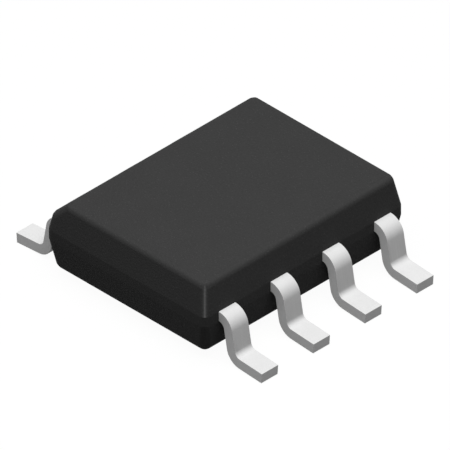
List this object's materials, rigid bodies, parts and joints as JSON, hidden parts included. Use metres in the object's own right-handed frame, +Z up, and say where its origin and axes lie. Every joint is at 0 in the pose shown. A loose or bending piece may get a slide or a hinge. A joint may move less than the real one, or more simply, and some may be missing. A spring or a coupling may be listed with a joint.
{
  "type": "small outline integrated circuit chip",
  "caption": "Surface-mount integrated circuit: a small black moulded body with gull-wing leads along its two long sides.",
  "frame": {"origin": "on the board, under the middle of the body", "axes": "+Z up from the board, +X across the body towards the row of leads 5 to 8, +Y along the rows towards leads 1 and 8; the bevelled long side faces -X"},
  "size_m": [0.006, 0.005, 0.0016],
  "materials": {
    "compound": "fine matt moulded texture",
    "plated_lead": "matt tin plating",
    "paddle": "rolled copper alloy",
    "attach_layer": "cured silver-filled paste",
    "silicon": "polished",
    "gold_wire": "drawn"
  },
  "bodies": {
    "root": {"moulded_body": "compound", "lead_1": "plated_lead", "lead_2": "plated_lead", "lead_3": "plated_lead", "lead_4": "plated_lead", "lead_5": "plated_lead", "lead_6": "plated_lead", "lead_7": "plated_lead", "lead_8": "plated_lead", "die_paddle": "paddle", "die_attach": "attach_layer", "silicon_die": "silicon", "bond_wire_1": "gold_wire", "bond_wire_2": "gold_wire", "bond_wire_3": "gold_wire", "bond_wire_4": "gold_wire", "bond_wire_5": "gold_wire", "bond_wire_6": "gold_wire", "bond_wire_7": "gold_wire", "bond_wire_8": "gold_wire"}
  },
  "joints": []
}
